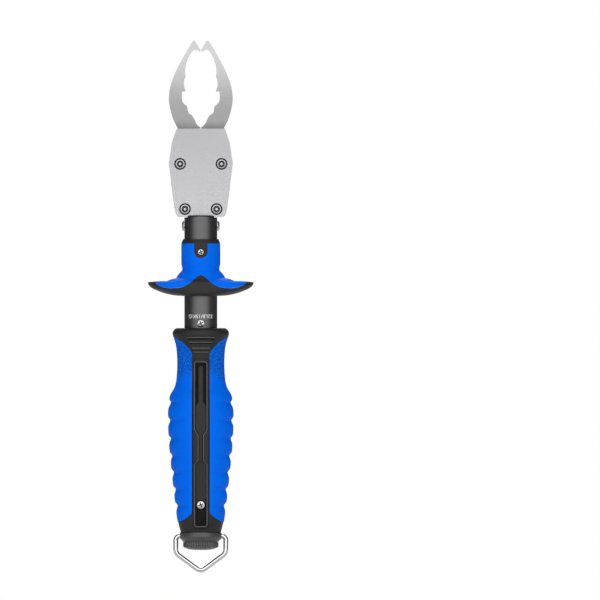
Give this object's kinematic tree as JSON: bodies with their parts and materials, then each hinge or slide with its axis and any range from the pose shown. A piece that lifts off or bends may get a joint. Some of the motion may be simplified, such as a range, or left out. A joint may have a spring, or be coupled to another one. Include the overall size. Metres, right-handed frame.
{
  "type": "lip grip",
  "caption": "Hand-held fish lip grip: closed toothed steel jaws, finger trigger on a sliding tube, ribbed handle with a pull-out spring scale and a swivelling wire lanyard loop.",
  "frame": {"origin": "centre of the flat face of the end cap, at the bottom of the handle", "axes": "+Z along the handle's axis from the end cap to the jaws, +X to the right with the jaws' flat sides and the trigger screw seen from the front, the front facing -Y"},
  "size_m": [0.053, 0.0284, 0.2661],
  "materials": {
    "black_plastic": "fine matt moulded grain",
    "blue_rubber": "soft-touch overmould with a leather grain round the neck of the grip",
    "black_anodised": "black anodised, satin, turned",
    "jaw_steel": "satin stainless, blanked edges",
    "plate_steel": "bead-blasted stainless",
    "screw_steel": "machined steel, dark in the sockets",
    "chrome": "bright plated steel",
    "spring_steel": "drawn spring wire",
    "black_nylon": "smooth moulded nylon",
    "brass": "turned brass"
  },
  "bodies": {
    "handle": {"handle_core": "black_plastic", "grip_left": "blue_rubber", "grip_right": "blue_rubber", "front_inlay": "black_plastic", "back_inlay": "black_plastic", "handle_screw": "chrome", "guide_bush": "black_nylon", "end_plug": "black_anodised", "draw_rod": "jaw_steel", "draw_piston": "brass", "rod_nut": "chrome", "end_cap": "black_plastic"},
    "ring_collar": {"ring_collar": "black_plastic"},
    "lanyard_loop": {"lanyard_loop": "chrome"},
    "scale_tube": {"scale_tube": "black_anodised", "tube_end_bush": "black_nylon", "divider_plug": "black_anodised", "tube_screw": "chrome", "scale_spring": "spring_steel", "return_spring": "spring_steel", "head_block": "black_anodised", "side_screw_left": "chrome", "side_screw_right": "chrome", "front_plate": "plate_steel", "back_plate": "plate_steel", "pivot_barrel_left": "screw_steel", "pivot_barrel_right": "screw_steel", "pivot_screw_left": "screw_steel", "pivot_screw_right": "screw_steel", "spacer_barrel_left": "screw_steel", "spacer_barrel_right": "screw_steel", "plate_screw_left": "screw_steel", "plate_screw_right": "screw_steel"},
    "trigger": {"trigger_core": "black_plastic", "trigger_pad": "blue_rubber", "trigger_screw": "chrome", "plunger": "brass", "plunger_pin": "jaw_steel", "cam_plate": "jaw_steel"},
    "left_jaw": {"jaw_left": "jaw_steel", "jaw_pin_left": "jaw_steel"},
    "right_jaw": {"jaw_right": "jaw_steel", "jaw_pin_right": "jaw_steel"}
  },
  "joints": [
    {"name": "scale_slide", "type": "slide", "parent": "handle", "child": "scale_tube", "axis": [0, 0, 1], "range_m": [0, 0.052], "stiffness_N_per_m": 3100, "springref_m": -0.002, "deforming": ["scale_spring"]},
    {"name": "trigger_slide", "type": "slide", "parent": "scale_tube", "child": "trigger", "axis": [0, 0, -1], "range_m": [0, 0.009], "stiffness_N_per_m": 800, "springref_m": -0.008, "deforming": ["return_spring"]},
    {"name": "left_jaw_hinge", "type": "hinge", "parent": "scale_tube", "child": "left_jaw", "pos_m": [-0.01035, 0, 0.19305], "axis": [0, -1, 0], "range_deg": [0, 16]},
    {"name": "right_jaw_hinge", "type": "hinge", "parent": "scale_tube", "child": "right_jaw", "pos_m": [0.01035, 0, 0.19305], "axis": [0, 1, 0], "range_deg": [0, 16]},
    {"name": "collar_swivel", "type": "hinge", "parent": "handle", "child": "ring_collar", "pos_m": [0, 0, 0.0065], "axis": [0, 0, 1], "continuous": true},
    {"name": "loop_swing", "type": "hinge", "parent": "ring_collar", "child": "lanyard_loop", "pos_m": [0, 0, 0.00715], "axis": [1, 0, 0], "range_deg": [-110, 110]}
  ],
  "couplings": [
    {"joint": "left_jaw_hinge", "follows": "trigger_slide", "rad_per_m": 31},
    {"joint": "right_jaw_hinge", "follows": "trigger_slide", "rad_per_m": 31}
  ]
}
